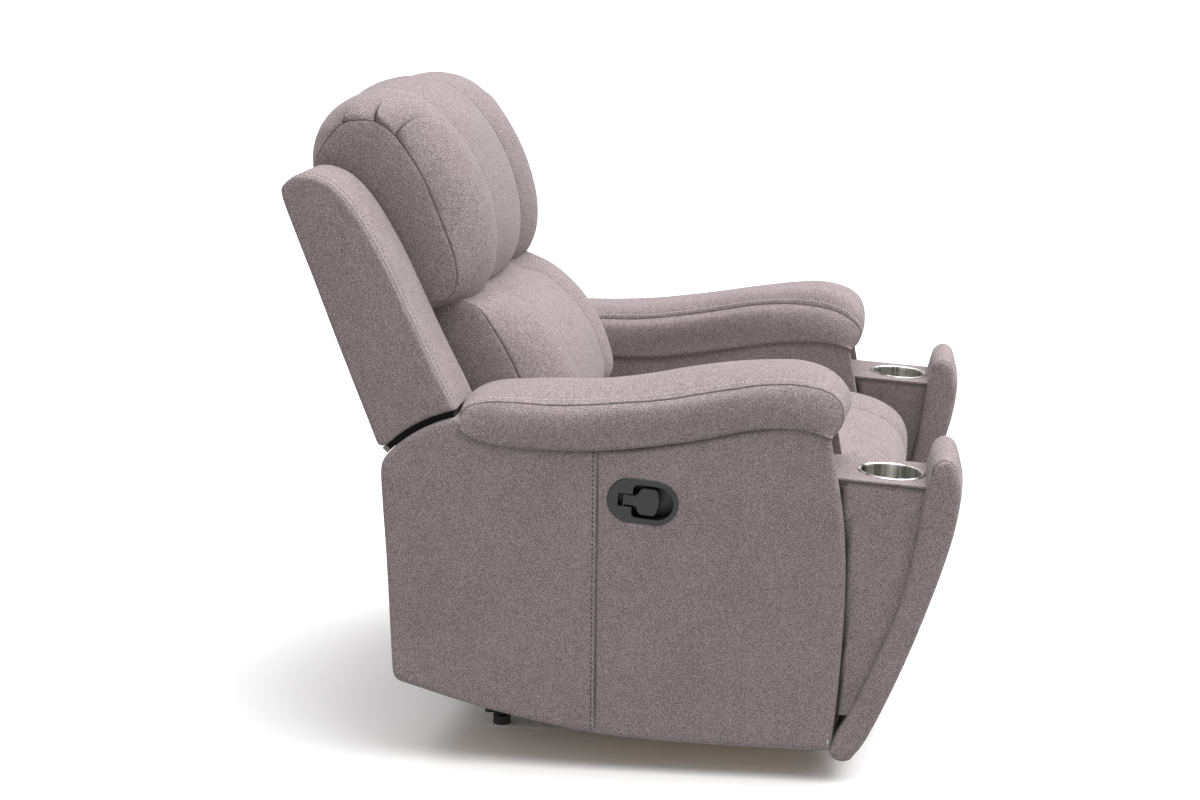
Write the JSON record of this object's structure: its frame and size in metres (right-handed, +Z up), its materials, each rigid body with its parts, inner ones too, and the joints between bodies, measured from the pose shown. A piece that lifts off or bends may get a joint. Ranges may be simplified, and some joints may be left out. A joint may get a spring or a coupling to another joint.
{
  "type": "recliner chair",
  "caption": "Upholstered manual recliner armchair with a reclining back, a folding scissor-link footrest, a pull release lever and tilt-out cup-holder consoles in the arm fronts.",
  "frame": {"origin": "on the floor under the centre of the chair's bounding box, consoles tilted out", "axes": "+Z up, the sitter faces -Y, +X is the sitter's left"},
  "size_m": [0.932, 0.9901, 0.983],
  "materials": {
    "fabric": "woven twill, taupe grey",
    "black_plastic": "fine textured",
    "black_steel": "black paint",
    "zinc_steel": "zinc plated",
    "stainless": "bright spun stainless",
    "wood": "bare plywood"
  },
  "bodies": {
    "frame": {"floor_glides": "black_plastic", "base_rails": "black_steel", "base_cross_tubes": "black_steel", "side_plate_left": "black_steel", "side_plate_right": "black_steel", "mechanism_cross_tubes": "black_steel", "plate_rivets": "zinc_steel", "back_pivot_bolts": "zinc_steel", "arm_bolts": "zinc_steel", "seat_side_rails": "wood", "seat_front_rail": "wood", "seat_rear_rail": "wood", "seat_springs": "zinc_steel", "seat_cushion": "fabric", "left_arm_outer_panel": "fabric", "left_arm_inner_panel": "fabric", "left_arm_frame": "wood", "left_arm_pad": "fabric", "right_arm_outer_panel": "fabric", "right_arm_inner_panel": "fabric", "right_arm_frame": "wood", "right_arm_pad": "fabric", "console_hinge_rods": "black_steel", "rear_panel": "fabric", "rear_flap": "fabric", "lever_bezel": "black_plastic", "lever_pin": "zinc_steel", "release_cable": "black_plastic"},
    "backrest": {"back_posts": "wood", "back_cross_rails": "wood", "back_brackets": "black_steel", "back_cover": "fabric", "left_back_wing": "fabric", "right_back_wing": "fabric", "head_cushion": "fabric", "lumbar_cushion": "fabric"},
    "front_link": {"front_links": "black_steel", "front_link_rivets": "zinc_steel"},
    "cross_link": {"cross_links": "black_steel", "cross_link_rivets": "zinc_steel"},
    "lower_link": {"lower_links": "black_steel", "lower_link_rivets": "zinc_steel"},
    "upper_link": {"upper_links": "black_steel"},
    "rear_swing_link": {"rear_swing_links": "black_steel"},
    "footrest": {"footrest_brackets": "black_steel", "bracket_rivets": "zinc_steel", "footrest_board": "wood", "footrest_pad": "fabric"},
    "control_link": {"control_links": "black_steel"},
    "lever": {"lever_paddle": "black_plastic"},
    "left_console": {"left_console_panel": "fabric", "left_console_box": "fabric", "left_console_lid": "fabric", "left_cup_holder": "stainless"},
    "right_console": {"right_console_panel": "fabric", "right_console_box": "fabric", "right_console_lid": "fabric", "right_cup_holder": "stainless"}
  },
  "joints": [
    {"name": "back_recline", "type": "hinge", "parent": "frame", "child": "backrest", "pos_m": [0, 0.194, 0.335], "axis": [-1, 0, 0], "range_deg": [0, 36], "deforming": ["rear_flap"]},
    {"name": "footrest_extend", "type": "hinge", "parent": "frame", "child": "front_link", "pos_m": [0, -0.281, 0.31], "axis": [-1, 0, 0], "range_deg": [0, 82]},
    {"name": "cross_link_fold", "type": "hinge", "parent": "front_link", "child": "cross_link", "pos_m": [0, -0.26146, 0.19921], "axis": [-1, 0, 0], "range_deg": [-111, 1]},
    {"name": "lower_link_fold", "type": "hinge", "parent": "front_link", "child": "lower_link", "pos_m": [0, -0.24193, 0.08842], "axis": [-1, 0, 0], "range_deg": [-111, 1]},
    {"name": "upper_link_fold", "type": "hinge", "parent": "cross_link", "child": "upper_link", "pos_m": [0, -0.30722, 0.30198], "axis": [-1, 0, 0], "range_deg": [-1, 111]},
    {"name": "rear_link_swing", "type": "hinge", "parent": "frame", "child": "rear_swing_link", "pos_m": [0, -0.1859, 0.2058], "axis": [-1, 0, 0], "range_deg": [-1, 76]},
    {"name": "footrest_tilt", "type": "hinge", "parent": "lower_link", "child": "footrest", "pos_m": [0, -0.33344, 0.29397], "axis": [-1, 0, 0], "range_deg": [-1, 114]},
    {"name": "control_link_swing", "type": "hinge", "parent": "footrest", "child": "control_link", "pos_m": [0, -0.34294, 0.19177], "axis": [-1, 0, 0], "range_deg": [-91, 1]},
    {"name": "lever_pull", "type": "hinge", "parent": "frame", "child": "lever", "pos_m": [-0.448, -0.00913, 0.42478], "axis": [0, 0.0958, -0.9954], "range_deg": [0, 35], "stiffness_Nm_per_rad": 0.6, "springref_deg": -14.32},
    {"name": "left_console_tilt", "type": "hinge", "parent": "frame", "child": "left_console", "pos_m": [0.367, -0.311, 0.066], "axis": [1, 0, 0], "range_deg": [-17.5, 0]},
    {"name": "right_console_tilt", "type": "hinge", "parent": "frame", "child": "right_console", "pos_m": [-0.367, -0.311, 0.066], "axis": [1, 0, 0], "range_deg": [-17.5, 0]}
  ],
  "couplings": [
    {"joint": "cross_link_fold", "follows": "footrest_extend", "ratio": -1.3415},
    {"joint": "lower_link_fold", "follows": "footrest_extend", "ratio": -1.3415},
    {"joint": "upper_link_fold", "follows": "footrest_extend", "ratio": 1.3415},
    {"joint": "rear_link_swing", "follows": "footrest_extend", "ratio": 0.91271},
    {"joint": "footrest_tilt", "follows": "footrest_extend", "ratio": 1.378},
    {"joint": "control_link_swing", "follows": "footrest_extend", "ratio": -1.0974}
  ]
}
